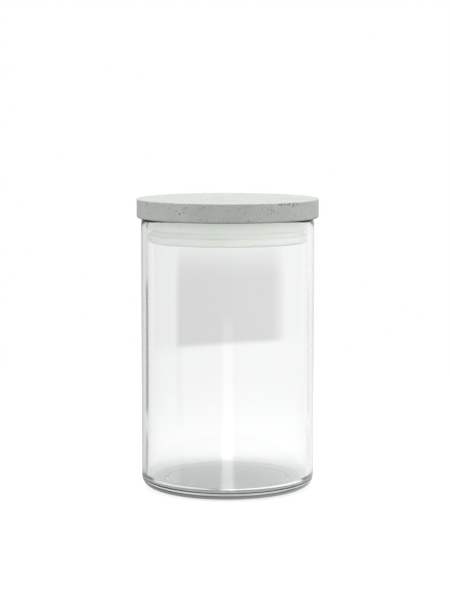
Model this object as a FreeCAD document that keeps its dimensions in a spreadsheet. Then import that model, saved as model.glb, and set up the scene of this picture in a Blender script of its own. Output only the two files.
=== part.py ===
"""Storage jar: a straight glass jar, a cast concrete lid and the silicone seal round the lid's boss.

Millimetres, +Z up, origin at the centre of the face that the jar stands on.
Every piece is turned about Z: a half section on the body's own XZ plane, revolved, then rounded.
"""

import FreeCAD
import Part
import Sketcher
import math
import os
from dataclasses import dataclass
from enum import Enum
from types import SimpleNamespace

# Driving sizes: name, millimetres, what it measures.
SIZES = (
    ("glass_height", 156.5, "glass jar, standing face to rim"),
    ("glass_radius", 50.0, "glass jar, outside of the straight wall"),
    ("glass_wall", 3.5, "glass jar, thickness of the straight wall"),
    ("floor_height", 5.2, "inside floor where it meets the wall, above the standing face"),
    ("floor_crown", 0.8, "rise of the inside floor from the wall to its centre"),
    ("floor_corner", 3.5, "round between the inside floor and the wall"),
    ("base_corner", 6.5, "round between the outside wall and the standing face"),
    ("standing_ring", 7.5, "width of the flat ring that the jar stands on"),
    ("punt_depth", 0.6, "height of the flat punt under the floor"),
    ("punt_slope", 0.8, "width of the slope at the edge of the punt"),
    ("punt_round", 0.8, "rounds at both ends of the slope"),
    ("rim_tuck", 0.4, "how far the rim is drawn in by fire polishing"),
    ("rim_tuck_height", 6.0, "height over which the rim is drawn in"),
    ("rim_outer_round", 1.5, "round on the outside of the rim"),
    ("rim_inner_round", 1.0, "round on the inside of the rim"),
    ("lid_thickness", 11.0, "disc of the lid"),
    ("lid_overhang", 2.5, "disc past the outside of the glass"),
    ("lid_top_round", 0.5, "top edge of the disc"),
    ("lid_bottom_round", 1.2, "bottom edge of the disc"),
    ("boss_recess", 6.5, "how far the boss under the disc ends above the seal's lower face"),
    ("boss_chamfer", 1.0, "bottom edge of the boss"),
    ("seal_depth", 13.7, "seal, top face to bottom face"),
    ("seal_thickness", 6.6, "seal at its ribs, bore to outside"),
    ("seal_web", 4.4, "seal between its bore and the bottom of the groove"),
    ("upper_rib", 6.2, "height of the rib next to the disc"),
    ("groove", 2.8, "height of the groove between the ribs"),
    ("rib_round", 0.8, "edges of the ribs and corners of the groove"),
    ("lead_in", 2.0, "round under the lower rib, which finds its way into the rim"),
    ("seal_clearance", 0.3, "between the ribs and the glass"),
    ("seat_gap", 0.1, "between the disc and the rim, and between the seal and the lid"),
)

SAME_PLACE = 1e-3
ROUND_SHARE = 0.45  # the most of a wall's width that a round at each of its two edges may take


@dataclass(frozen=True)
class Size:
    """A length: its value, and the expression that ties it to the sheet."""

    value: float
    text: str

    def __add__(self, other: "Size") -> "Size":
        return Size(self.value + other.value, f"{self.text} + {other.text}")

    def __sub__(self, other: "Size") -> "Size":
        return Size(self.value - other.value, f"{self.text} - ({other.text})")

    def within(self, wall: "Size") -> "Size":
        """Limits a round to its share of the wall that it is on."""
        most = wall.value * ROUND_SHARE
        return Size(min(self.value, most), f"min({self.text}; ({wall.text}) * {ROUND_SHARE})")


ZERO = Size(0.0, "0")
Corner = tuple[Size, Size]  # radius, height


class Bend(Enum):
    """How an edge of a section that is an arc is held."""

    DOME = "its centre is on the axis"
    TANGENT = "its centre is level with its start, so it leaves an upright edge smoothly"


def size_sheet(doc: FreeCAD.Document) -> SimpleNamespace:
    """Writes the driving sizes into a spreadsheet, and returns them by name."""
    sheet = doc.addObject("Spreadsheet::Sheet", "Sizes")
    for row, (name, value, meaning) in enumerate(SIZES, start=1):
        sheet.set(f"A{row}", name)
        sheet.set(f"B{row}", str(value))
        sheet.setAlias(f"B{row}", name)
        sheet.set(f"C{row}", meaning)
    doc.recompute()
    return SimpleNamespace(**{name: Size(value, f"Sizes.{name}") for name, value, _ in SIZES})


def new_body(doc: FreeCAD.Document, label: str, foot: Size) -> Part.Feature:
    """Adds the body of one piece, whose own origin is at the height of the piece's foot."""
    body = doc.addObject("PartDesign::Body", label)
    body.Label = label
    body.setExpression("Placement.Base.z", foot.text)
    return body


def new_section(body: Part.Feature) -> Part.Feature:
    """Adds a sketch on the body's XZ plane: its X is the radius and its Y the height."""
    section = body.newObject("Sketcher::SketchObject", f"{body.Label}_section")
    plane = next(item for item in body.Origin.OriginFeatures if item.Role == "XZ_Plane")
    section.AttachmentSupport = [(plane, "")]
    section.MapMode = "FlatFace"
    return section


def bend_centre(start: FreeCAD.Vector, end: FreeCAD.Vector, bend: Bend) -> FreeCAD.Vector:
    """Returns the centre of the arc from start to end that a bend asks for."""
    if bend is Bend.DOME:
        level = (end.dot(end) - start.dot(start)) / (2 * (end.y - start.y))
        return FreeCAD.Vector(0, level, 0)
    rise = end.y - start.y
    return FreeCAD.Vector((start.x**2 - end.x**2 - rise**2) / (2 * (start.x - end.x)), start.y, 0)


def draw_edge(
    section: Part.Feature, start: FreeCAD.Vector, end: FreeCAD.Vector, bend: Bend | None
) -> tuple[int, int]:
    """Draws one edge and returns its point numbers at start and end: an arc runs counterclockwise."""
    if bend is None:
        section.addGeometry(Part.LineSegment(start, end), False)
        return 1, 2
    centre = bend_centre(start, end, bend)
    first, last = (math.atan2(p.y - centre.y, p.x - centre.x) for p in (start, end))
    circle = Part.Circle(centre, FreeCAD.Vector(0, 0, 1), start.distanceToPoint(centre))
    forward = (last - first) % math.tau < math.pi
    section.addGeometry(Part.ArcOfCircle(circle, *((first, last) if forward else (last, first))), False)
    return (1, 2) if forward else (2, 1)


def tie(section: Part.Feature, axis: str, edge: int, point: int, size: Size) -> None:
    """Ties a corner's radius (axis X) or height (axis Y) to the sheet, or puts it on the other axis."""
    if size is ZERO:
        line = {"X": -2, "Y": -1}[axis]
        section.addConstraint(Sketcher.Constraint("PointOnObject", edge, point, line))
        return
    distance = Sketcher.Constraint(f"Distance{axis}", -1, 1, edge, point, size.value)
    number = section.addConstraint(distance)
    name = {"X": "radius", "Y": "height"}[axis] + f"_{edge}"
    section.renameConstraint(number, name)
    section.setExpression(f"Constraints.{name}", size.text)


def draw(section: Part.Feature, corners: list[Corner], bends: dict[int, Bend] | None = None) -> None:
    """Draws a closed half section through its corners.

    bends names the corners whose next edge is an arc. The other edges are straight.
    """
    bends = bends or {}
    points = [FreeCAD.Vector(radius.value, height.value, 0) for radius, height in corners]
    following = points[1:] + points[:1]
    ends = [draw_edge(section, a, b, bends.get(n)) for n, (a, b) in enumerate(zip(points, following))]
    for edge, (radius, height) in enumerate(corners):
        start, end = ends[edge]
        after = (edge + 1) % len(corners)
        section.addConstraint(Sketcher.Constraint("Coincident", edge, end, after, ends[after][0]))
        tie(section, "X", edge, start, radius)
        tie(section, "Y", edge, start, height)
        if bends.get(edge) is Bend.DOME:
            section.addConstraint(Sketcher.Constraint("PointOnObject", edge, 3, -2))
        if bends.get(edge) is Bend.TANGENT:
            section.addConstraint(Sketcher.Constraint("Horizontal", edge, 3, edge, start))


def turn(body: Part.Feature, section: Part.Feature) -> Part.Feature:
    """Revolves a section about the body's Z axis."""
    turned = body.newObject("PartDesign::Revolution", f"{body.Label}_turned")
    turned.Profile = section
    turned.ReferenceAxis = (section, ["V_Axis"])
    turned.Angle = 360
    section.Visibility = False
    body.Document.recompute()
    return turned


def ring_edges(feature: Part.Feature, rings: list[Corner]) -> list[str]:
    """Returns the names of the feature's circular edges at each given radius and height."""
    names = []
    for radius, height in rings:
        found = [
            f"Edge{number}"
            for number, edge in enumerate(feature.Shape.Edges, start=1)
            if not edge.Degenerated
            and isinstance(edge.Curve, Part.Circle)
            and abs(edge.Curve.Radius - radius.value) < SAME_PLACE
            and abs(edge.Curve.Center.z - height.value) < SAME_PLACE
        ]
        if len(found) != 1:
            raise RuntimeError(f"{feature.Label}: {len(found)} edges at {radius.text}, {height.text}")
        names += found
    return names


def ease(body: Part.Feature, kind: str, name: str, rings: list[Corner], size: Size) -> None:
    """Rounds (kind Fillet) or chamfers (kind Chamfer) circular edges of the body's last feature."""
    last = body.Tip
    eased = body.newObject(f"PartDesign::{kind}", f"{body.Label}_{name}")
    eased.Base = (last, ring_edges(last, rings))
    eased.setExpression({"Fillet": "Radius", "Chamfer": "Size"}[kind], size.text)
    body.Document.recompute()


def fits(s: SimpleNamespace) -> SimpleNamespace:
    """Works out the sizes that pieces share, from the driving sizes and the named clearances."""
    mouth_radius = s.glass_radius - s.glass_wall
    seal_radius = mouth_radius - s.seal_clearance
    seal_bore = seal_radius - s.seal_thickness
    boss_depth = s.seal_depth + s.seat_gap - s.boss_recess
    return SimpleNamespace(
        mouth_radius=mouth_radius,
        seal_radius=seal_radius,
        seal_bore=seal_bore,
        boss_radius=seal_bore - s.seat_gap,
        boss_depth=boss_depth,
        lid_radius=s.glass_radius + s.lid_overhang,
        lid_foot=s.glass_height + s.seat_gap - boss_depth,
        seal_foot=s.glass_height - s.seal_depth,
    )


def glass_jar(doc: FreeCAD.Document, s: SimpleNamespace, fit: SimpleNamespace) -> Part.Feature:
    """The jar: a straight wall, a thick floor over a shallow punt, and a fire-polished rim."""
    body = new_body(doc, "glass_jar", ZERO)
    punt_radius = s.glass_radius - s.base_corner - s.standing_ring
    rim_radius = s.glass_radius - s.rim_tuck
    corners = [
        (punt_radius, ZERO),
        (s.glass_radius, ZERO),
        (s.glass_radius, s.glass_height - s.rim_tuck_height),
        (rim_radius, s.glass_height),
        (fit.mouth_radius, s.glass_height),
        (fit.mouth_radius, s.floor_height),
        (ZERO, s.floor_height + s.floor_crown),
        (ZERO, s.punt_depth),
        (punt_radius - s.punt_slope, s.punt_depth),
    ]
    section = new_section(body)
    draw(section, corners, {2: Bend.TANGENT, 5: Bend.DOME})
    turn(body, section)
    ease(body, "Fillet", "base_corner", [corners[1]], s.base_corner)
    ease(body, "Fillet", "punt_round", [corners[0], corners[8]], s.punt_round)
    ease(body, "Fillet", "floor_corner", [corners[5]], s.floor_corner)
    ease(body, "Fillet", "rim_outer_round", [corners[3]], s.rim_outer_round)
    ease(body, "Fillet", "rim_inner_round", [corners[4]], s.rim_inner_round)
    return body


def concrete_lid(doc: FreeCAD.Document, s: SimpleNamespace, fit: SimpleNamespace) -> Part.Feature:
    """The lid: one casting, a disc that lies on the rim and a boss that carries the seal."""
    body = new_body(doc, "concrete_lid", fit.lid_foot)
    top = fit.boss_depth + s.lid_thickness
    corners = [
        (ZERO, ZERO),
        (fit.boss_radius, ZERO),
        (fit.boss_radius, fit.boss_depth),
        (fit.lid_radius, fit.boss_depth),
        (fit.lid_radius, top),
        (ZERO, top),
    ]
    section = new_section(body)
    draw(section, corners)
    turn(body, section)
    ease(body, "Chamfer", "boss_chamfer", [corners[1]], s.boss_chamfer)
    ease(body, "Fillet", "bottom_round", [corners[3]], s.lid_bottom_round)
    ease(body, "Fillet", "top_round", [corners[4]], s.lid_top_round)
    return body


def silicone_seal(doc: FreeCAD.Document, s: SimpleNamespace, fit: SimpleNamespace) -> Part.Feature:
    """The seal: a ring with two ribs and a groove between them, level with the glass rim."""
    body = new_body(doc, "silicone_seal", fit.seal_foot)
    groove_radius = fit.seal_bore + s.seal_web
    groove_top = s.seal_depth - s.upper_rib
    groove_foot = groove_top - s.groove
    corners = [
        (fit.seal_bore, ZERO),
        (fit.seal_radius, ZERO),
        (fit.seal_radius, groove_foot),
        (groove_radius, groove_foot),
        (groove_radius, groove_top),
        (fit.seal_radius, groove_top),
        (fit.seal_radius, s.seal_depth),
        (fit.seal_bore, s.seal_depth),
    ]
    section = new_section(body)
    draw(section, corners)
    turn(body, section)
    ease(body, "Fillet", "lead_in", [corners[1]], s.lead_in)
    ease(body, "Fillet", "rib_rounds", corners[2:7], s.rib_round.within(s.seal_thickness - s.seal_web))
    return body


def check(doc: FreeCAD.Document, bodies: list[Part.Feature]) -> None:
    """Stops the build if an object failed, a sketch is loose, or a piece isn't one valid solid."""
    for item in doc.Objects:
        if {"Invalid", "Error"} & set(item.State):
            raise RuntimeError(f"{item.Label} failed: {item.State}")
        if item.isDerivedFrom("Sketcher::SketchObject") and not item.FullyConstrained:
            raise RuntimeError(f"{item.Label} isn't fully constrained")
    for body in bodies:
        if body.Shape.isNull() or not body.Shape.isValid() or len(body.Shape.Solids) != 1:
            raise RuntimeError(f"{body.Label} isn't one valid solid")


def main() -> None:
    """Builds the jar and writes each piece to its STEP file."""
    doc = FreeCAD.newDocument("StorageJar")
    sizes = size_sheet(doc)
    shared = fits(sizes)
    bodies = [piece(doc, sizes, shared) for piece in (glass_jar, concrete_lid, silicone_seal)]
    doc.recompute()
    check(doc, bodies)
    os.makedirs("parts", exist_ok=True)
    for body in bodies:
        body.Shape.exportStep(f"parts/{body.Label}.step")
        box = body.Shape.BoundBox
        print(f"{body.Label}: {body.Shape.Volume / 1000:.1f} cm3, z {box.ZMin:.2f} to {box.ZMax:.2f}")


main()
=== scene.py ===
"""Storage jar: clear glass, a cast concrete lid and the ribbed silicone seal under it.

Metres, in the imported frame: +Z up, origin at the centre of the ring that the jar stands on. Every
piece is turned about Z, so each is a half section spun round and then eased along its rings.
"""

import logging
import math
import random
from dataclasses import dataclass, field
from enum import Enum
from typing import ClassVar

import bmesh
import bpy
from mathutils import Matrix, Vector, kdtree, noise


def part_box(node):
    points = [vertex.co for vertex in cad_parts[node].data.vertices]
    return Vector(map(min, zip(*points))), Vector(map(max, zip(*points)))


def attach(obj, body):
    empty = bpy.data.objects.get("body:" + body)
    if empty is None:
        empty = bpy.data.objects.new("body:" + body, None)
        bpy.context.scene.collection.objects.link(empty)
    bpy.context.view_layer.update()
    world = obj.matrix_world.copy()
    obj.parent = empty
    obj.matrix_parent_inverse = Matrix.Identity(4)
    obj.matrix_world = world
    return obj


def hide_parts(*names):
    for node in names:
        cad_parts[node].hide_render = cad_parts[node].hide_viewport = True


logging.basicConfig(level=logging.INFO, format="%(name)s: %(message)s")
LOG = logging.getLogger("storage_jar")

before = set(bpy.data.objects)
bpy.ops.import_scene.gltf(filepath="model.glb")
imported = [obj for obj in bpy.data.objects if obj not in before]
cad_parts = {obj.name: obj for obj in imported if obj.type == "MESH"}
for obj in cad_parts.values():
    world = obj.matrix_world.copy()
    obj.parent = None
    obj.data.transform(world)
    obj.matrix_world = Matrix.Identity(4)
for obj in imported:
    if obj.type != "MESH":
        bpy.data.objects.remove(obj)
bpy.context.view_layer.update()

MM = 0.001
FULL_TURN = math.tau
SAME_POINT = 0.001 * MM
SAME_RING = 0.01 * MM
ROOT_BODY = "root"
COLOUR_INPUTS = (0, 6, 7)
COLOUR_OUTPUT = 2

Colour = tuple[float, float, float, float]
Place = tuple[float, float, float]
Span = tuple[float, float]
Socket = bpy.types.NodeSocket


# ---------------- shader graphs


class Mixing(Enum):
    """How one colour is laid over another."""

    COVER = "MIX"
    DARKEN = "MULTIPLY"


class Graph:
    """A node tree that is built one node at a time."""

    def __init__(self, tree: bpy.types.NodeTree) -> None:
        """Empties the tree.

        Args:
            tree: the node tree of a material or a world.
        """
        self.tree = tree
        tree.nodes.clear()

    def add(self, kind: str, **values: object) -> bpy.types.Node:
        """Adds a node, sets its properties and feeds its inputs.

        Args:
            kind: the node's type name, without the leading "ShaderNode".
            **values: a property of the node by its name, or an input by its name in lower case with
                underscores. An input takes a value, or an output socket to link.

        Returns:
            The new node.
        """
        node = self.tree.nodes.new(f"ShaderNode{kind}")
        inputs = {}
        for socket in node.inputs:
            inputs.setdefault(socket.name.lower().replace(" ", "_"), socket)
        for key, value in values.items():
            if key in inputs:
                self.feed(inputs[key], value)
            else:
                setattr(node, key, value)
        return node

    def feed(self, socket: Socket, value: object) -> None:
        """Links an output to a socket, or sets the socket's own value.

        Args:
            socket: the input.
            value: an output socket, or a number, vector or colour.
        """
        if isinstance(value, Socket):
            self.tree.links.new(value, socket)
        else:
            socket.default_value = value

    def fill(self, node: bpy.types.Node, *values: object) -> Socket:
        """Feeds a node's inputs in their order.

        Args:
            node: the node.
            *values: an output socket or a value for each input.

        Returns:
            The node's first output.
        """
        for socket, value in zip(node.inputs, values):
            self.feed(socket, value)
        return node.outputs[0]

    def maths(self, operation: str, *values: object) -> Socket:
        """Returns the result of a Math node with these inputs."""
        return self.fill(self.add("Math", operation=operation), *values)

    def at_least_one(self, count: Socket) -> Socket:
        """Returns 1 where a whole number is one or more, 0 elsewhere."""
        return self.maths("GREATER_THAN", count, 0.5)

    def exactly(self, count: Socket, number: int) -> Socket:
        """Returns 1 where a whole number is the given one, 0 elsewhere."""
        return self.maths("COMPARE", count, number, 0.5)

    def fit(self, value: Socket, span: Span, at_start: float = 0.0, at_end: float = 1.0) -> Socket:
        """Maps a range of values smoothly to another and clamps it.

        Args:
            value: the value to map.
            span: the start and the end of its range.
            at_start: the result at the start and before it.
            at_end: the result at the end and past it.

        Returns:
            The mapped value.
        """
        node = self.add("MapRange", interpolation_type="SMOOTHSTEP")
        return self.fill(node, value, *span, at_start, at_end)

    def between(self, share: Socket, none: object, full: object) -> Socket:
        """Returns a number that goes from none to full as the share goes from 0 to 1."""
        return self.add("MapRange", value=share, to_min=none, to_max=full).outputs[0]

    def blend(self, share: object, first: object, second: object, mixing: Mixing = Mixing.COVER) -> Socket:
        """Blends two colours.

        Args:
            share: how much of the second is laid over the first.
            first: the colour at share 0.
            second: the colour laid over it.
            mixing: the way of laying it.

        Returns:
            The blended colour.
        """
        node = self.add("Mix", data_type="RGBA", blend_type=mixing.value)
        for number, value in zip(COLOUR_INPUTS, (share, first, second)):
            self.feed(node.inputs[number], value)
        return node.outputs[COLOUR_OUTPUT]

    def mix_shaders(self, share: object, first: Socket, second: Socket) -> Socket:
        """Returns a mixture of two shaders, by how much of the second is shown."""
        return self.fill(self.add("MixShader"), share, first, second)

    def glow(self, strength: object) -> Socket:
        """Returns a white emission of that strength."""
        return self.add("Emission", color=grey(1.0), strength=strength).outputs[0]


def grey(level: float) -> Colour:
    """Returns an opaque grey of that level."""
    return (level, level, level, 1.0)


def new_material(name: str) -> tuple[bpy.types.Material, Graph]:
    """Makes an empty material.

    Args:
        name: the material's name.

    Returns:
        The material and its graph.
    """
    material = bpy.data.materials.new(name)
    material.use_nodes = True
    return material, Graph(material.node_tree)


# ---------------- finishes


@dataclass(frozen=True)
class ClearGlass:
    """Pressed soda-lime glass: clear, faintly green, with slight waves from the mould."""

    tint: Colour = (0.998, 1.0, 0.999, 1.0)
    body: Colour = (0.45, 0.55, 0.52, 1.0)
    density: float = 8.0
    index: float = 1.5
    roughness: float = 0.0
    wave_size: float = 26 * MM
    wave_height: float = 1 * MM
    wave_strength: float = 0.012
    shade_passed: float = 0.95

    def make(self) -> bpy.types.Material:
        """Builds the material.

        Returns:
            A smooth glass that lets lamps through.
        """
        material, graph = new_material("clear_glass")
        place = graph.add("TexCoord").outputs["Object"]
        waves = graph.add("TexNoise", vector=place, scale=1 / self.wave_size, detail=1.0).outputs[0]
        bump = graph.add("Bump", strength=self.wave_strength, distance=self.wave_height, height=waves)
        glass = graph.add(
            "BsdfPrincipled",
            base_color=self.tint,
            roughness=self.roughness,
            ior=self.index,
            transmission_weight=1.0,
            normal=bump.outputs[0],
        )
        passed = graph.add("BsdfTransparent", color=grey(self.shade_passed))
        shadow = graph.add("LightPath").outputs["Is Shadow Ray"]
        surface = graph.mix_shaders(shadow, glass.outputs[0], passed.outputs[0])
        body = graph.add("VolumeAbsorption", color=self.body, density=self.density)
        graph.add("OutputMaterial", surface=surface, volume=body.outputs[0])
        return material


@dataclass(frozen=True)
class Dots:
    """Small round dots of uneven size.

    Attributes:
        colour: their colour.
        spacing: the width of the cells that each may hold one.
        reach: where a dot fades out, in cells from its cell's middle.
        share: how strongly they show.
    """

    colour: Colour
    spacing: float
    reach: Span
    share: float = 1.0

    RARITY: ClassVar[Span] = (0.72, 1.0)

    def lay(self, graph: Graph, place: Socket, ground: Socket) -> Socket:
        """Lays the dots over a colour.

        Args:
            graph: the material's graph.
            place: the coordinates.
            ground: the colour under them.

        Returns:
            The dotted colour.
        """
        cells = graph.add("TexVoronoi", vector=place, scale=1 / self.spacing)
        lot = graph.add("SeparateColor", color=cells.outputs["Color"]).outputs[0]
        near = graph.fit(cells.outputs["Distance"], self.reach, 1.0, 0.0)
        dots = graph.maths("MULTIPLY", near, graph.fit(lot, self.RARITY))
        return graph.blend(graph.maths("MULTIPLY", dots, self.share), ground, self.colour)


@dataclass(frozen=True)
class CastConcrete:
    """Pale grey cement: cloudy, finely grained, with dark specks, pale flecks and pin holes, and painted
    shade in the holes and under the disc's lower edge.
    """

    pale: Colour = (0.462, 0.480, 0.455, 1.0)
    deep: Colour = (0.428, 0.447, 0.420, 1.0)
    # painted shade: the dark laid in the pin holes, where a little dust also lies, and under the disc's lower
    # edge
    hole: Colour = (0.16, 0.165, 0.155, 1.0)
    specks: Dots = Dots((0.13, 0.13, 0.12, 1.0), 1.9 * MM, (0.16, 0.24))
    flecks: Dots = Dots((0.66, 0.67, 0.64, 1.0), 3.04 * MM, (0.14, 0.22), 0.55)
    cloud_size: float = 14 * MM
    cloud_span: Span = (0.35, 0.65)
    grain_size: float = 0.7 * MM
    grain_span: Span = (0.3, 0.7)
    grain_shade: Span = (0.9, 1.08)
    rise_of_clouds: float = 0.5
    relief: float = 0.15 * MM
    relief_strength: float = 0.25
    roughness: Span = (0.80, 0.92)
    roughness_span: Span = (0.3, 0.7)

    def make(self) -> bpy.types.Material:
        """Builds the material.

        Returns:
            A matt material darkened with painted shade by the mesh attribute "hole": in the pin holes, where
            a little dust also lies, and under the lower edge of the disc.
        """
        material, graph = new_material("cast_concrete")
        place = graph.add("TexCoord").outputs["Object"]
        clouds = graph.add("TexNoise", vector=place, scale=1 / self.cloud_size, detail=5.0, roughness=0.6)
        clouds = clouds.outputs[0]
        grain = graph.add("TexNoise", vector=place, scale=1 / self.grain_size, detail=3.0).outputs[0]
        colour = graph.blend(graph.fit(clouds, self.cloud_span), self.deep, self.pale)
        shade = graph.fit(grain, self.grain_span, *self.grain_shade)
        shade = graph.add("CombineColor", red=shade, green=shade, blue=shade).outputs[0]
        colour = graph.blend(1.0, colour, shade, Mixing.DARKEN)
        for dots in (self.specks, self.flecks):
            colour = dots.lay(graph, place, colour)
        # painted shade: this attribute darkens the pin holes and the underside of the disc's lower edge
        holes = graph.add("Attribute", attribute_name="hole").outputs["Fac"]
        colour = graph.blend(holes, colour, self.hole)
        height = graph.maths("ADD", grain, graph.maths("MULTIPLY", clouds, self.rise_of_clouds))
        bump = graph.add("Bump", strength=self.relief_strength, distance=self.relief, height=height)
        rough = graph.fit(clouds, self.roughness_span, *self.roughness)
        cement = graph.add("BsdfPrincipled", base_color=colour, roughness=rough, normal=bump.outputs[0])
        graph.add("OutputMaterial", surface=cement.outputs[0])
        return material


@dataclass(frozen=True)
class MilkySilicone:
    """Translucent greenish white silicone with a satin skin and a little dust."""

    body: Colour = (0.90, 0.99, 0.88, 1.0)
    dust: Colour = (0.93, 0.99, 0.905, 1.0)
    dust_span: Span = (0.4, 0.7)
    dust_share: float = 0.6
    roughness: Span = (0.31, 0.45)
    roughness_span: Span = (0.3, 0.7)
    index: float = 1.41
    seen_through: float = 0.06
    scattered: float = 0.8
    depth: float = 5 * MM
    green_depth: float = 5.5 * MM
    cloud_size: float = 9 * MM
    grain_size: float = 0.5 * MM
    relief: float = 0.05 * MM
    relief_strength: float = 0.15

    def make(self) -> bpy.types.Material:
        """Builds the material.

        Returns:
            A soft translucent material.
        """
        material, graph = new_material("milky_silicone")
        place = graph.add("TexCoord").outputs["Object"]
        clouds = graph.add("TexNoise", vector=place, scale=1 / self.cloud_size, detail=4.0).outputs[0]
        grain = graph.add("TexNoise", vector=place, scale=1 / self.grain_size, detail=2.0).outputs[0]
        dusty = graph.fit(clouds, self.dust_span, 0.0, self.dust_share)
        bump = graph.add("Bump", strength=self.relief_strength, distance=self.relief, height=grain)
        silicone = graph.add(
            "BsdfPrincipled",
            base_color=graph.blend(dusty, self.body, self.dust),
            roughness=graph.fit(clouds, self.roughness_span, *self.roughness),
            ior=self.index,
            transmission_weight=self.seen_through,
            subsurface_weight=self.scattered,
            subsurface_radius=(self.depth, self.green_depth, self.depth),
            subsurface_scale=1.0,
            normal=bump.outputs[0],
        )
        graph.add("OutputMaterial", surface=silicone.outputs[0])
        return material


# ---------------- turned pieces


@dataclass(frozen=True)
class Ring:
    """A corner of a half section, spun into a ring.

    Attributes:
        radius: distance from the axis.
        height: height above the standing face.
        ease: how much is rounded off along the ring.
        steps: the number of faces across that round.
    """

    radius: float
    height: float
    ease: float = 0.0
    steps: int = 1


class Turned:
    """A closed solid of revolution about Z."""

    def __init__(self, name: str, segments: int) -> None:
        """Starts an empty mesh.

        Args:
            name: the piece's name.
            segments: the number of faces round it.
        """
        self.name = name
        self.segments = segments
        self.mesh = bmesh.new()

    def spin(self, rings: list[Ring], closed: bool) -> None:
        """Spins a half section and eases its rings.

        Args:
            rings: the section's corners in order.
            closed: whether the last corner is joined to the first. An open section ends on the axis.
        """
        corners = [self.mesh.verts.new((ring.radius, 0, ring.height)) for ring in rings]
        pairs = list(zip(corners, corners[1:]))
        if closed:
            pairs.append((corners[-1], corners[0]))
        edges = [self.mesh.edges.new(pair) for pair in pairs]
        bmesh.ops.spin(
            self.mesh,
            geom=corners + edges,
            cent=(0, 0, 0),
            axis=(0, 0, 1),
            angle=FULL_TURN,
            steps=self.segments,
            use_merge=True,
        )
        bmesh.ops.remove_doubles(self.mesh, verts=self.mesh.verts, dist=SAME_POINT)
        bmesh.ops.recalc_face_normals(self.mesh, faces=self.mesh.faces)
        for ring in rings:
            if ring.ease > 0:
                self.ease(ring)

    def ease(self, ring: Ring) -> None:
        """Rounds the edges that lie along a ring.

        Args:
            ring: the ring, with its round.
        """
        bmesh.ops.bevel(
            self.mesh,
            geom=[edge for edge in self.mesh.edges if self.lies_on(edge, ring)],
            offset=ring.ease,
            offset_type="OFFSET",
            segments=ring.steps,
            profile=0.5,
            affect="EDGES",
            material=-1,
            clamp_overlap=False,
        )

    @staticmethod
    def lies_on(edge: bmesh.types.BMEdge, ring: Ring) -> bool:
        """Tells whether both ends of an edge are on a ring."""
        return all(
            abs(vert.co.xy.length - ring.radius) < SAME_RING and abs(vert.co.z - ring.height) < SAME_RING
            for vert in edge.verts
        )

    def finish(self, node: str, slot: str, material: bpy.types.Material) -> bpy.types.Object:
        """Makes the object, which stands for a CAD node.

        Args:
            node: the CAD node that it replaces.
            slot: the record's material slot; not used.
            material: its finish.

        Returns:
            The finished object.
        """
        for face in self.mesh.faces:
            face.smooth = True
        piece = new_object(self.name, self.mesh, material)
        even = piece.modifiers.new("even_normals", "WEIGHTED_NORMAL")
        even.keep_sharp = False
        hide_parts(node)
        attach(piece, ROOT_BODY)
        LOG.info("%s: %d faces", self.name, len(piece.data.polygons))
        return piece


def new_object(name: str, mesh: bmesh.types.BMesh, material: bpy.types.Material) -> bpy.types.Object:
    """Makes an object of a finished mesh, and frees the mesh.

    Args:
        name: the name of the object and of its mesh.
        mesh: its shape.
        material: its finish.

    Returns:
        The object, at the origin.
    """
    data = bpy.data.meshes.new(name)
    mesh.to_mesh(data)
    mesh.free()
    data.materials.append(material)
    made = bpy.data.objects.new(name, data)
    bpy.context.scene.collection.objects.link(made)
    return made


def dome(radius: float, edge: float, crown: float, steps: int) -> list[Ring]:
    """Works out the rings of a shallow dome, from its edge to its top on the axis.

    Args:
        radius: the radius of its edge.
        edge: the height of its edge.
        crown: the height of its top.
        steps: the number of faces from edge to top.

    Returns:
        The rings, with the edge left out.
    """
    rise = crown - edge
    ball = (radius**2 + rise**2) / (2 * rise)
    reaches = [radius * (1 - step / steps) for step in range(1, steps + 1)]
    return [Ring(reach, crown - ball + math.sqrt(ball**2 - reach**2)) for reach in reaches]


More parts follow.
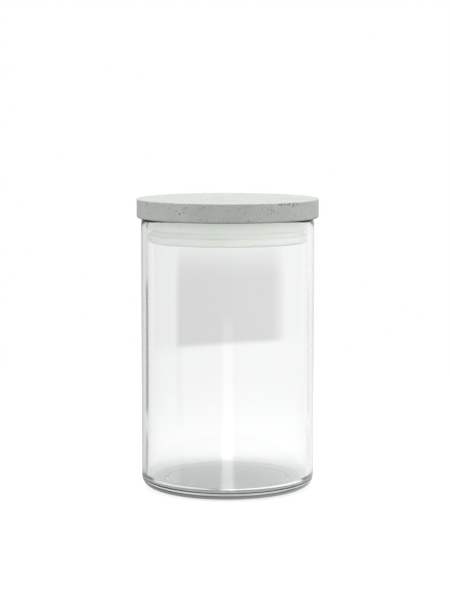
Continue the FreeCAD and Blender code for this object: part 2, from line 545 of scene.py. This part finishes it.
@dataclass
class GlassJar:
    """The jar: a straight wall, a thick floor over a shallow punt, and a fire-polished rim.

    Attributes:
        standing_ring: the width of the flat ring that the jar stands on.
        punt_slope: how far the punt's edge leans inwards.
        rim_tuck: how much the outside of the wall draws in at the rim.
        unevenness: how far the inside of the wall strays in and out.
        waves_round: how many such waves there are in a metre round the wall.
        waves_up: the same up the wall.
        even_rim: the height below the rim that has none.
    """

    wall: float = 3.5 * MM
    floor_height: float = 5.2 * MM
    floor_crown: float = 0.8 * MM
    floor_steps: int = 8
    floor_corner: float = 3.5 * MM
    base_corner: float = 6.5 * MM
    corner_steps: int = 12
    standing_ring: float = 7.5 * MM
    punt_depth: float = 0.6 * MM
    punt_slope: float = 0.8 * MM
    punt_round: float = 0.2 * MM
    punt_steps: int = 3
    rim_tuck: float = 0.4 * MM
    rim_tuck_height: float = 6 * MM
    rim_outer_round: float = 1.5 * MM
    rim_outer_steps: int = 8
    rim_inner_round: float = 1 * MM
    rim_inner_steps: int = 6
    segments: int = 256
    rows: int = 48
    unevenness: float = 0.05 * MM
    waves_round: float = 45.0
    waves_up: float = 14.0
    even_rim: float = 4 * MM
    finish: ClearGlass = field(default_factory=ClearGlass)

    def __post_init__(self) -> None:
        """Takes the outside radius and the height from the frame, and works out the others."""
        low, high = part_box("glass_jar")
        self.radius = (high[0] - low[0]) / 2
        self.height = high[2]
        self.inside = self.radius - self.wall
        self.punt_radius = self.radius - self.base_corner - self.standing_ring
        self.roof_radius = self.punt_radius - self.punt_slope

    def rings(self) -> list[Ring]:
        """Lists the section's corners.

        Returns:
            The rings, from the middle of the underside round to the middle of the inside floor.
        """
        floor = dome(self.inside, self.floor_height, self.floor_height + self.floor_crown, self.floor_steps)
        rim = self.radius - self.rim_tuck
        return [
            Ring(0, self.punt_depth),
            Ring(self.roof_radius, self.punt_depth, self.punt_round, self.punt_steps),
            Ring(self.punt_radius, 0, self.punt_round, self.punt_steps),
            Ring(self.radius, 0, self.base_corner, self.corner_steps),
            *self.tuck(),
            Ring(rim, self.height, self.rim_outer_round, self.rim_outer_steps),
            Ring(self.inside, self.height, self.rim_inner_round, self.rim_inner_steps),
            Ring(self.inside, self.floor_height, self.floor_corner, self.corner_steps),
            *floor,
        ]

    def tuck(self) -> list[Ring]:
        """Draws the wall in below the rim, along an arc that leaves it smoothly.

        Returns:
            The rings of the arc's lower half.
        """
        foot = self.height - self.rim_tuck_height
        arc = (self.rim_tuck_height**2 + self.rim_tuck**2) / (2 * self.rim_tuck)
        rises = [self.rim_tuck_height * share for share in (0, 0.25, 0.5)]
        return [Ring(self.radius - arc + math.sqrt(arc**2 - rise**2), foot + rise) for rise in rises]

    def build(self) -> bpy.types.Object:
        """Builds and dresses the jar.

        Returns:
            The finished object.
        """
        turned = Turned("jar_glass", self.segments)
        turned.spin(self.rings(), closed=False)
        self.divide_wall(turned.mesh)
        self.roughen(turned.mesh)
        return turned.finish("glass_jar", "glass", self.finish.make())

    def divide_wall(self, mesh: bmesh.types.BMesh) -> None:
        """Divides the long upright faces of the mesh into rows."""
        long_edges = [edge for edge in mesh.edges if edge.calc_length() > self.height / 2]
        bmesh.ops.subdivide_edges(mesh, edges=long_edges, cuts=self.rows, use_grid_fill=True)

    def roughen(self, mesh: bmesh.types.BMesh) -> None:
        """Gives the inside of the wall the slight unevenness of pressed glass.

        Args:
            mesh: the jar's mesh.
        """
        for vert in mesh.verts:
            if abs(vert.co.xy.length - self.inside) > SAME_RING or vert.co.z > self.height - self.even_rim:
                continue
            x, y, z = vert.co
            spot = Vector((x * self.waves_round, y * self.waves_round, z * self.waves_up))
            vert.co += Vector((x, y, 0)).normalized() * (noise.noise(spot) * self.unevenness)


@dataclass(frozen=True)
class PitGroup:
    """Air holes that lie close together in the concrete.

    Attributes:
        azimuth: where the group is round the lid, in degrees from the front towards +X.
        spread: how far its holes are strewn round the lid, in degrees.
        drop: how far below the lid's top edge they are on average.
        count: the number of holes.
        size: the radius of the largest hole.
    """

    azimuth: float
    spread: float
    drop: float
    count: int
    size: float


@dataclass
class ConcreteLid:
    """The lid: one casting, a disc that lies on the rim and a boss that carries the seal.

    Attributes:
        side_start: where the air holes in the back begin, in degrees from the front towards +X.
        side_end: where they end.
        pit_depth: how deep an air hole is, in radii.
        group_sizes: how large a group's holes are, as shares of its largest.
        least_drop: how close to the lid's top edge a hole in the side may lie.
        drop_evenness: how evenly deep a group's holes lie.
        refined: how near to a hole the mesh is cut finer, at each pass.
        wobble: how uneven a hole's outline is.
        edge_shade: how much painted shade lies under the disc's lower edge, whose bottom round faces away
            from the light.
        edge_shade_reach: how far in from the side that painted shade goes, in lower rounds.
    """

    PIT_GROUPS: ClassVar[tuple[PitGroup, ...]] = (
        PitGroup(42, 17, 1.2 * MM, 22, 0.62 * MM),
        PitGroup(28, 7, 4.2 * MM, 9, 0.45 * MM),
        PitGroup(-28, 4, 3.6 * MM, 5, 0.6 * MM),
        PitGroup(-60, 5, 2.0 * MM, 4, 0.5 * MM),
        PitGroup(-17, 4, 2.6 * MM, 4, 0.45 * MM),
        PitGroup(3, 6, 1.6 * MM, 4, 0.4 * MM),
    )

    thickness: float = 11 * MM
    boss_chamfer: float = 1 * MM
    bottom_round: float = 1.2 * MM
    bottom_steps: int = 5
    top_round: float = 0.5 * MM
    top_steps: int = 4
    boss_radius: float = 39.5 * MM
    segments: int = 192
    rows: int = 6
    top_rings: int = 20
    side_pits: int = 90
    side_start: float = 75.0
    side_end: float = 285.0
    top_pits: int = 110
    pit_size: float = 0.5 * MM
    pit_depth: float = 0.7
    group_sizes: Span = (0.35, 1.0)
    side_sizes: Span = (0.35, 1.1)
    top_sizes: Span = (0.25, 0.8)
    least_drop: float = 0.3 * MM
    drop_evenness: float = 2.5
    refined: tuple[float, ...] = (2.0 * MM, 1.4 * MM, 1.0 * MM)
    shortest_edge: float = 0.2 * MM
    wobble: float = 0.35
    wobble_size: float = 0.6 * MM
    # painted shade under the disc's lower edge
    edge_shade: float = 0.55
    edge_shade_reach: float = 1.1
    seed: int = 7
    finish: CastConcrete = field(default_factory=CastConcrete)

    def __post_init__(self) -> None:
        """Takes the outside radius and the heights from the frame."""
        low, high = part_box("concrete_lid")
        self.radius = (high[0] - low[0]) / 2
        self.foot = low[2]
        self.top = high[2]
        self.seat = self.top - self.thickness

    def build(self) -> bpy.types.Object:
        """Builds and dresses the lid.

        Returns:
            The finished object.
        """
        turned = Turned("lid_concrete", self.segments)
        rings = [
            Ring(0, self.foot),
            Ring(self.boss_radius, self.foot, self.boss_chamfer),
            Ring(self.boss_radius, self.seat),
            Ring(self.radius, self.seat, self.bottom_round, self.bottom_steps),
            Ring(self.radius, self.top, self.top_round, self.top_steps),
            *self.face_rings(),
        ]
        turned.spin(rings, closed=False)
        self.divide_side(turned.mesh)
        self.pit(turned.mesh)
        return turned.finish("concrete_lid", "concrete", self.finish.make())

    def face_rings(self) -> list[Ring]:
        """Lists the rings that divide the lid's flat top, from its edge to its middle."""
        reach = self.radius - 2 * self.top_round
        return [Ring(reach * (1 - step / self.top_rings), self.top) for step in range(self.top_rings + 1)]

    def divide_side(self, mesh: bmesh.types.BMesh) -> None:
        """Divides the upright faces of the disc into rows.

        Args:
            mesh: the lid's mesh.
        """
        upright = [
            edge
            for edge in mesh.edges
            if all(abs(vert.co.xy.length - self.radius) < SAME_RING for vert in edge.verts)
            and edge.calc_length() > self.thickness / 2
            and min(vert.co.z for vert in edge.verts) > self.seat
        ]
        bmesh.ops.subdivide_edges(mesh, edges=upright, cuts=self.rows, use_grid_fill=True)

    def pits(self) -> list[tuple[Vector, float]]:
        """Strews the air holes.

        Returns:
            The middle and the radius of each hole.
        """
        dice = random.Random(self.seed)
        found = []
        for group in self.PIT_GROUPS:
            for _ in range(group.count):
                turn = math.radians(dice.gauss(group.azimuth, group.spread / 2))
                drop = max(self.least_drop, dice.gauss(group.drop, group.drop / self.drop_evenness))
                found.append((self.on_side(turn, drop), group.size * dice.uniform(*self.group_sizes)))
        side_height = self.thickness - 2 * self.bottom_round
        for _ in range(self.side_pits):
            turn = dice.uniform(math.radians(self.side_start), math.radians(self.side_end))
            drop = self.least_drop + dice.random() ** 2 * side_height
            found.append((self.on_side(turn, drop), self.pit_size * dice.uniform(*self.side_sizes)))
        for _ in range(self.top_pits):
            turn = dice.uniform(0, FULL_TURN)
            reach = (self.radius - self.top_round) * math.sqrt(dice.random())
            middle = Vector((reach * math.cos(turn), reach * math.sin(turn), self.top))
            found.append((middle, self.pit_size * dice.uniform(*self.top_sizes)))
        return found

    def on_side(self, turn: float, drop: float) -> Vector:
        """Returns the point of the side at an angle from the front and a depth below the top."""
        return Vector((self.radius * math.sin(turn), -self.radius * math.cos(turn), self.top - drop))

    def pit(self, mesh: bmesh.types.BMesh) -> None:
        """Sinks the air holes: refines the mesh round each one and presses its middle in. It also records
        painted shade in the holes and under the disc's lower edge.

        Args:
            mesh: the lid's mesh.
        """
        pits = self.pits()
        tree = kdtree.KDTree(len(pits))
        for number, (middle, _) in enumerate(pits):
            tree.insert(middle, number)
        tree.balance()
        for reach in self.refined:
            close = [edge for edge in mesh.edges if self.is_close(edge, tree, reach)]
            bmesh.ops.subdivide_edges(mesh, edges=close, cuts=1, use_grid_fill=True)
        bmesh.ops.triangulate(mesh, faces=[face for face in mesh.faces if len(face.verts) > 4])
        # this layer holds painted shade: the depth in each hole, and the shade under the disc's lower edge
        depth = mesh.verts.layers.float.new("hole")
        for vert in mesh.verts:
            # painted shade under the disc's lower edge, before the pin holes are pressed
            vert[depth] = self.painted_edge_shade(vert)
            self.press(vert, tree, pits, depth)

    def is_close(self, edge: bmesh.types.BMEdge, tree: kdtree.KDTree, reach: float) -> bool:
        """Tells whether an edge is long and lies within reach of a hole's middle."""
        middle = (edge.verts[0].co + edge.verts[1].co) / 2
        return edge.calc_length() > self.shortest_edge and tree.find(middle)[2] < reach

    def painted_edge_shade(self, vert: bmesh.types.BMVert) -> float:
        """Tells how much painted shade a point gets under the lower edge of the disc, where the bottom round
        faces down, away from the light.

        Args:
            vert: the point.

        Returns:
            0 away from the edge, up to the full painted shade under it.
        """
        if vert.co.xy.length < self.radius - self.edge_shade_reach * self.bottom_round:
            return 0.0
        drop = (self.seat + self.bottom_round - vert.co.z) / self.bottom_round
        return self.edge_shade * min(max(drop, 0.0), 1.0)

    def press(
        self,
        vert: bmesh.types.BMVert,
        tree: kdtree.KDTree,
        pits: list[tuple[Vector, float]],
        depth: bmesh.types.BMLayerItem,
    ) -> None:
        """Presses a point into the hole that it lies in.

        Args:
            vert: the point.
            tree: the holes' middles.
            pits: the middle and the radius of each hole.
            depth: the layer of painted shade, 0 to 1, which in a hole records how deep in it a point lies.
        """
        middle, number, distance = tree.find(vert.co)
        size = pits[number][1]
        uneven = 1 + self.wobble * noise.noise(vert.co / self.wobble_size)
        share = distance / (size * uneven)
        if share >= 1:
            return
        inward = Vector((-middle.x, -middle.y, 0)).normalized()
        if middle.z >= self.top:
            inward = Vector((0, 0, -1))
        bowl = math.sqrt(1 - share**2)
        vert.co += inward * (bowl * size * self.pit_depth)
        vert[depth] = max(vert[depth], bowl)


@dataclass
class SiliconeSeal:
    """The seal: a ring round the lid's boss, with two ribs and a groove between them."""

    thickness: float = 6.6 * MM
    web: float = 4.4 * MM
    upper_rib: float = 6.2 * MM
    groove: float = 2.8 * MM
    rib_round: float = 0.8 * MM
    rib_steps: int = 5
    lead_in: float = 2 * MM
    lead_in_steps: int = 8
    segments: int = 192
    finish: MilkySilicone = field(default_factory=MilkySilicone)

    def rings(self) -> list[Ring]:
        """Lists the section's corners.

        Returns:
            The rings, from the bore's lower edge round to its upper edge.
        """
        low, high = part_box("silicone_seal")
        outside, foot, top = (high[0] - low[0]) / 2, low[2], high[2]
        bore = outside - self.thickness
        bottom = bore + self.web
        groove_top = top - self.upper_rib
        groove_foot = groove_top - self.groove
        ribs = [
            (outside, groove_foot),
            (bottom, groove_foot),
            (bottom, groove_top),
            (outside, groove_top),
            (outside, top),
        ]
        return [
            Ring(bore, foot),
            Ring(outside, foot, self.lead_in, self.lead_in_steps),
            *(Ring(radius, height, self.rib_round, self.rib_steps) for radius, height in ribs),
            Ring(bore, top),
        ]

    def build(self) -> bpy.types.Object:
        """Builds and dresses the seal.

        Returns:
            The finished object.
        """
        turned = Turned("seal_silicone", self.segments)
        turned.spin(self.rings(), closed=True)
        return turned.finish("silicone_seal", "silicone", self.finish.make())


# ---------------- studio


@dataclass(frozen=True)
class Paths:
    """How rays come to the room or the table, each 1 or 0.

    Attributes:
        seen: looked at directly, or straight through clear glass.
        direct: looked at directly.
        walled: turned back once inside the glass wall.
        skimmed: mirrored by an outer surface.
        mirrored: mirrored at least once.
        glossy: coming straight from a mirroring surface.
        bounced: coming straight from a matt surface.
        scattered: scattered by a matt surface on the way.
    """

    seen: Socket
    direct: Socket
    walled: Socket
    skimmed: Socket
    mirrored: Socket
    glossy: Socket
    bounced: Socket
    scattered: Socket

    @classmethod
    def sort(cls, graph: Graph) -> "Paths":
        """Sorts the rays by how they came.

        Args:
            graph: the graph of the room or the table.

        Returns:
            The shares.
        """
        path = graph.add("LightPath").outputs
        passes, turns = path["Transmission Depth"], path["Glossy Depth"]
        mirrored = graph.at_least_one(turns)
        straight = graph.maths("SUBTRACT", path["Is Transmission Ray"], mirrored)
        return cls(
            seen=graph.maths("MAXIMUM", path["Is Camera Ray"], straight),
            direct=path["Is Camera Ray"],
            walled=graph.maths("MULTIPLY", graph.exactly(turns, 1), graph.exactly(passes, 2)),
            skimmed=graph.maths("MULTIPLY", mirrored, graph.exactly(passes, 0)),
            mirrored=mirrored,
            glossy=path["Is Glossy Ray"],
            bounced=path["Is Diffuse Ray"],
            scattered=graph.at_least_one(path["Diffuse Depth"]),
        )


@dataclass(frozen=True)
class Surroundings:
    """What the glass shows: white straight through it, and a pale room with dark flags mirrored in it.

    Attributes:
        through_level: the white behind the jar, seen through it.
        outer_left: what the outer surface mirrors on the left.
        outer_right: the same on the right.
        outer_turn: where the two lie, by the sideways share of the direction.
        inner_level: what is mirrored inside the glass.
        wall_level: what the wall turns back.
        wall_lean: how much brighter that is on the right.
        flags: the number of dark flags round the jar.
        flag_phase: where they stand, in degrees.
        flag_edge: the cosines between which its edge fades in.
        flag_share: the brightness that a flag leaves.
        flag_lean: how much more it leaves on the right.
    """

    through_level: float = 0.965
    outer_left: float = 0.4
    outer_right: float = 0.88
    outer_turn: float = 0.5
    inner_level: float = 0.85
    wall_level: float = 0.98
    wall_lean: float = 0.12
    flags: float = 5.0
    flag_phase: float = 90.0
    flag_edge: Span = (0.86, 0.97)
    flag_share: float = 0.62
    flag_lean: float = 0.4

    def seen(self, graph: Graph, paths: Paths) -> Socket:
        """Returns white where it is looked at directly, and slightly less through glass."""
        return graph.between(paths.direct, self.through_level, 1.0)

    def mirrored(self, graph: Graph, paths: Paths, way: Socket, leaving: Socket, depth: object) -> Socket:
        """Gives the brightness that the glass mirrors.

        Args:
            graph: the graph of the room or the table.
            paths: the sorted rays.
            way: the direction from the jar.
            leaving: the direction in which the jar's wall sends light to that place.
            depth: how dark the flags are, 0 to 1.

        Returns:
            The brightness.
        """
        parts = graph.add("SeparateXYZ", vector=leaving).outputs
        turn = graph.maths("ARCTAN2", parts["Y"], parts["X"])
        phase = math.radians(self.flag_phase)
        wave = graph.maths("COSINE", graph.maths("MULTIPLY_ADD", turn, self.flags, phase))
        dark = graph.maths("MULTIPLY", graph.fit(wave, self.flag_edge), depth)
        left = graph.maths("MULTIPLY_ADD", parts["X"], self.flag_lean, self.flag_share)
        pale = graph.maths("MULTIPLY_ADD", parts["X"], self.wall_lean, self.wall_level)
        wall = graph.maths("MULTIPLY", pale, graph.between(dark, 1.0, left))
        across = graph.add("SeparateXYZ", vector=way).outputs["X"]
        sides = (-self.outer_turn, self.outer_turn)
        outer = graph.fit(across, sides, self.outer_left, self.outer_right)
        inner = graph.between(paths.walled, self.inner_level, wall)
        return graph.between(paths.skimmed, inner, outer)


@dataclass
class Room:
    """A pale room: even light, white behind the jar, and a grey ceiling that only the glass shows."""

    surroundings: Surroundings
    light: float = 0.36
    flag_depth: float = 0.4
    ceiling_level: float = 0.6
    ceiling_span: Span = (0.1, 0.26)

    def build(self) -> None:
        """Builds the world."""
        world = bpy.data.worlds.new("pale_room")
        bpy.context.scene.world = world
        world.use_nodes = True
        graph = Graph(world.node_tree)
        paths = Paths.sort(graph)
        way = graph.add("TexCoord").outputs["Generated"]
        turned = graph.maths("MAXIMUM", graph.maths("MAXIMUM", paths.walled, paths.skimmed), paths.glossy)
        mirrored = self.surroundings.mirrored(graph, paths, way, way, self.flag_depth)
        dim = graph.between(turned, self.light, mirrored)
        height = graph.add("SeparateXYZ", vector=way).outputs["Z"]
        plain = graph.maths("MAXIMUM", paths.direct, paths.scattered)
        ceiling = graph.maths("MAXIMUM", graph.fit(height, self.ceiling_span, 1.0, self.ceiling_level), plain)
        white = graph.maths("MULTIPLY", self.surroundings.seen(graph, paths), ceiling)
        strength = graph.between(paths.seen, dim, white)
        background = graph.add("Background", color=grey(1.0), strength=strength)
        graph.add("OutputWorld", surface=background.outputs[0])


@dataclass
class Table:
    """A plain white table top that keeps the jar's shadow.

    Its face touches the standing ring, and a flat pad of the same white fills the punt.

    Attributes:
        roof_radius: the radius of the punt's flat roof.
        roof_height: the height of that roof.
        contact: how far its face lies inside the glass.
        pad_clearance: between the pad and the slope round the roof.
        tone: the table's own white, looked at directly.
        tone_through: the same, seen through glass.
        tone_glow: the same, as it lights the jar through the glass.
        tone_bounce: the same, as it lights the jar from outside.
        near_fill: light that lifts the near table to white.
        white_span: where the table becomes plain white, by the distance from the jar.
        under_level: the brightness left to what the glass mirrors of the table under it, a painted shadow
            under the jar.
        under_span: where that ends.
        flag_start: where the far dark flags begin.
        flag_end: where they fade.
        flag_rest: what is left of them past that.
        foot_span: where the near dark flags end.
        foot_depth: how dark those are.
        wall_offset: how far beside the axis the light leaves that the wall turns back.
        strip_sides: where the bright strip's edges fade, by the sideways share of the direction.
        strip_start: where the strip begins.
        strip_end: where it ends.
        strip_fade: where its brightness falls.
        strip_levels: the brightness before and after that.
    """

    surroundings: Surroundings
    roof_radius: float
    roof_height: float
    radius: float = 4.0
    segments: int = 96
    contact: float = 0.02 * MM
    pad_clearance: float = 0.2 * MM
    pad_segments: int = 256
    tone: float = 0.6
    tone_through: float = 0.68
    tone_glow: float = 0.95
    tone_bounce: float = 0.34
    near_fill: float = 0.40
    white_span: Span = (0.12, 0.55)
    under_level: float = 0.3
    under_span: Span = (0.04, 0.044)
    flag_start: Span = (0.24, 0.32)
    flag_end: Span = (1.05, 1.3)
    flag_rest: float = 0.25
    foot_span: Span = (0.16, 0.24)
    foot_depth: float = 0.75
    wall_offset: float = 41 * MM
    strip_sides: Span = (0.05, 0.16)
    strip_start: Span = (0.056, 0.075)
    strip_end: Span = (0.8, 1.0)
    strip_fade: Span = (0.08, 0.4)
    strip_levels: Span = (4.5, 1.2)

    def build(self) -> None:
        """Builds the table top and its pad."""
        mesh = bmesh.new()
        bmesh.ops.create_circle(mesh, cap_ends=True, segments=self.segments, radius=self.radius)
        bmesh.ops.create_circle(
            mesh,
            cap_ends=True,
            segments=self.pad_segments,
            radius=self.roof_radius - self.pad_clearance,
            matrix=Matrix.Translation((0, 0, self.roof_height)),
        )
        bmesh.ops.translate(mesh, vec=(0, 0, self.contact), verts=mesh.verts)
        table = new_object("table_top", mesh, self.finish())

    def finish(self) -> bpy.types.Material:
        """Builds the table's material.

        Returns:
            White, matt near the jar and plain far from it.
        """
        material, graph = new_material("white_table")
        paths = Paths.sort(graph)
        place = graph.add("TexCoord").outputs["Object"]
        reach = graph.add("VectorMath", operation="LENGTH", vector=place).outputs["Value"]
        way = graph.add("VectorMath", operation="NORMALIZE", vector=place).outputs["Vector"]
        tone = graph.blend(paths.direct, grey(self.tone_through), grey(self.tone))
        tone = graph.blend(paths.scattered, tone, grey(self.tone_glow))
        tone = graph.blend(paths.bounced, tone, grey(self.tone_bounce))
        matt = graph.add("BsdfDiffuse", color=tone).outputs[0]
        fill = graph.glow(graph.maths("MULTIPLY", paths.direct, self.near_fill))
        near = graph.fill(graph.add("AddShader"), matt, fill)
        white = graph.glow(self.surroundings.seen(graph, paths))
        far = graph.maths("MULTIPLY", paths.seen, graph.fit(reach, self.white_span))
        plain = graph.mix_shaders(far, near, white)
        mirrored = graph.glow(self.mirrored(graph, paths, place, way, reach))
        graph.add("OutputMaterial", surface=graph.mix_shaders(paths.mirrored, plain, mirrored))
        return material

    def mirrored(self, graph: Graph, paths: Paths, place: Socket, way: Socket, reach: Socket) -> Socket:
        """Gives the brightness that the glass mirrors of the table.

        Args:
            graph: the table's graph.
            paths: the sorted rays.
            place: the place on the table.
            way: the direction from the jar.
            reach: the distance from the jar.

        Returns:
            The brightness.
        """
        far = graph.maths(
            "MULTIPLY",
            graph.fit(reach, self.flag_start),
            graph.fit(reach, self.flag_end, 1.0, self.flag_rest),
        )
        depth = graph.maths("MAXIMUM", far, graph.fit(reach, self.foot_span, self.foot_depth, 0.0))
        side = graph.maths("SIGN", graph.add("SeparateXYZ", vector=place).outputs["X"])
        lean = graph.maths("ARCSINE", graph.maths("DIVIDE", self.wall_offset, reach))
        turn = graph.maths("MULTIPLY", side, lean)
        leaving = graph.add("VectorRotate", rotation_type="Z_AXIS", vector=way, angle=turn).outputs[0]
        level = self.surroundings.mirrored(graph, paths, way, leaving, depth)
        # painted shadow: what the glass mirrors of the table under the jar is darkened
        level = graph.maths("MULTIPLY", level, graph.fit(reach, self.under_span, self.under_level))
        # painted reflection: the strip adds a highlight down the front of the glass
        return graph.maths("ADD", level, self.strip(graph, paths, way, reach))

    def strip(self, graph: Graph, paths: Paths, way: Socket, reach: Socket) -> Socket:
        """Lays a narrow glowing strip on the table before the jar and behind it: a painted reflection that
        lights nothing and stands in for a softbox mirrored down the jar's front.

        Args:
            graph: the table's graph.
            paths: the sorted rays.
            way: the direction from the jar.
            reach: the distance from the jar.

        Returns:
            The strip's brightness, which only the glass's outer surface mirrors.
        """
        side = graph.maths("ABSOLUTE", graph.add("SeparateXYZ", vector=way).outputs["X"])
        shape = graph.fit(side, self.strip_sides, 1.0, 0.0)
        for part in (
            graph.fit(reach, self.strip_start),
            graph.fit(reach, self.strip_end, 1.0, 0.0),
            graph.fit(reach, self.strip_fade, *self.strip_levels),
            paths.skimmed,
        ):
            shape = graph.maths("MULTIPLY", shape, part)
        return shape


@dataclass
class Card:
    """A soft-edged grey card far behind the jar, which shows only through the glass: a glowing grey, lit by
    no lamp, that paints soft shade on the backdrop seen through the jar.

    Attributes:
        left: where its left edge fades in.
        right: where its right edge fades out.
        foot: where its lower edge fades in.
        head: where its upper edge fades out.
        slant: how much the lower edge rises to the right.
        share: how strongly it shows.
        veil_sides: the width of the fainter veil round it.
        veil_shares: how strongly it shows on the left and the right.
        veil_foot: where the veil's lower edge fades in.
    """

    width: float = 0.24
    height: float = 0.15
    middle: Place = (0.0, 0.35, 0.09)
    tone: float = 0.68
    left: Span = (-0.064, -0.046)
    right: Span = (0.042, 0.076)
    foot: Span = (0.033, 0.039)
    head: Span = (0.083, 0.128)
    slant: float = 0.05
    share: float = 0.95
    veil_sides: Span = (-0.1, 0.1)
    veil_shares: Span = (0.3, 0.12)
    veil_foot: Span = (0.026, 0.044)

    def build(self) -> None:
        """Stands the card up."""
        mesh = bmesh.new()
        bmesh.ops.create_grid(mesh, x_segments=1, y_segments=1, size=0.5)
        bmesh.ops.scale(mesh, vec=(self.width, self.height, 1), verts=mesh.verts)
        bmesh.ops.rotate(mesh, matrix=Matrix.Rotation(math.radians(90), 3, "X"), verts=mesh.verts)
        bmesh.ops.translate(mesh, vec=self.middle, verts=mesh.verts)
        card = new_object("grey_card", mesh, self.finish())
        card.visible_camera = False
        card.visible_diffuse = False
        card.visible_glossy = False
        card.visible_shadow = False

    def finish(self) -> bpy.types.Material:
        """Builds the card's material.

        Returns:
            Grey within soft edges, and clear outside them.
        """
        material, graph = new_material("soft_grey_card")
        parts = graph.add("SeparateXYZ", vector=graph.add("TexCoord").outputs["Object"]).outputs
        side, height = parts["X"], parts["Z"]
        low = graph.maths("SUBTRACT", height, graph.maths("MULTIPLY", side, self.slant))
        mask = graph.fit(side, self.left)
        for edge in (
            graph.fit(side, self.right, 1.0, 0.0),
            graph.fit(low, self.foot),
            graph.fit(height, self.head, 1.0, 0.0),
        ):
            mask = graph.maths("MULTIPLY", mask, edge)
        mask = graph.maths("MULTIPLY", mask, self.share)
        veil = graph.fit(side, self.veil_sides, *self.veil_shares)
        veil = graph.maths("MULTIPLY", veil, graph.fit(low, self.veil_foot))
        mask = graph.maths("MAXIMUM", mask, veil)
        clear = graph.add("BsdfTransparent", color=grey(1.0)).outputs[0]
        # painted shade: a grey glow where the backdrop's shade shows through the glass
        graph.add("OutputMaterial", surface=graph.mix_shaders(mask, clear, graph.glow(self.tone)))
        return material


@dataclass(frozen=True)
class Lamp:
    """A soft rectangular lamp that points at the middle of the jar, with its power in watts."""

    name: str
    place: Place
    width: float
    height: float
    power: float

    TARGET: ClassVar[Place] = (0, 0, 0.08)

    def build(self) -> None:
        """Hangs the lamp."""
        data = bpy.data.lights.new(self.name, "AREA")
        data.shape = "RECTANGLE"
        data.size = self.width
        data.size_y = self.height
        data.energy = self.power
        lamp = bpy.data.objects.new(self.name, data)
        lamp.location = self.place
        towards = Vector(self.TARGET) - Vector(self.place)
        lamp.rotation_euler = towards.to_track_quat("-Z", "Y").to_euler()
        lamp.visible_camera = False
        lamp.visible_glossy = False
        lamp.visible_transmission = False
        bpy.context.scene.collection.objects.link(lamp)


@dataclass
class Camera:
    """A camera before the jar, slightly above its lid."""

    distance: float = 1.1582
    height: float = 0.23925
    side: float = -1.53 * MM
    aim_height: float = 0.10854
    lens: float = 120.52
    sensor_width: float = 36.0

    def build(self) -> None:
        """Sets the camera up and makes it the scene's."""
        data = bpy.data.cameras.new("camera")
        data.lens = self.lens
        data.sensor_width = self.sensor_width
        camera = bpy.data.objects.new("camera", data)
        camera.location = (self.side, -self.distance, self.height)
        aim = Vector((self.side, 0, self.aim_height))
        camera.rotation_euler = (aim - camera.location).to_track_quat("-Z", "Y").to_euler()
        bpy.context.scene.collection.objects.link(camera)
        bpy.context.scene.camera = camera


@dataclass
class Studio:
    """A plain white table in a pale room, with soft lamps and the camera."""

    LAMPS: ClassVar[tuple[Lamp, ...]] = (
        Lamp("lamp_left", (-0.9, -0.05, 0.4), 0.7, 0.7, 3.8),
        Lamp("lamp_right", (0.9, 0.0, 0.4), 0.7, 0.7, 4.2),
        Lamp("lamp_top", (0.0, 0.1, 1.3), 0.9, 0.9, 17.5),
        Lamp("lamp_front", (0.1, -1.3, 0.14), 1.6, 0.24, 6.2),
    )

    jar: GlassJar
    surroundings: Surroundings = field(default_factory=Surroundings)

    def build(self) -> None:
        """Builds the room, the table, the card, the lamps and the camera."""
        bpy.context.scene.view_settings.view_transform = "Standard"
        Room(self.surroundings).build()
        Table(self.surroundings, self.jar.roof_radius, self.jar.punt_depth).build()
        Card().build()
        for lamp in self.LAMPS:
            lamp.build()
        Camera().build()


def main() -> None:
    """Builds the jar and the studio."""
    jar = GlassJar()
    for assembly in (jar, ConcreteLid(), SiliconeSeal()):
        piece = assembly.build()
        LOG.info("%s is in place", piece.name)
    Studio(jar).build()


if __name__ == "__main__":
    main()
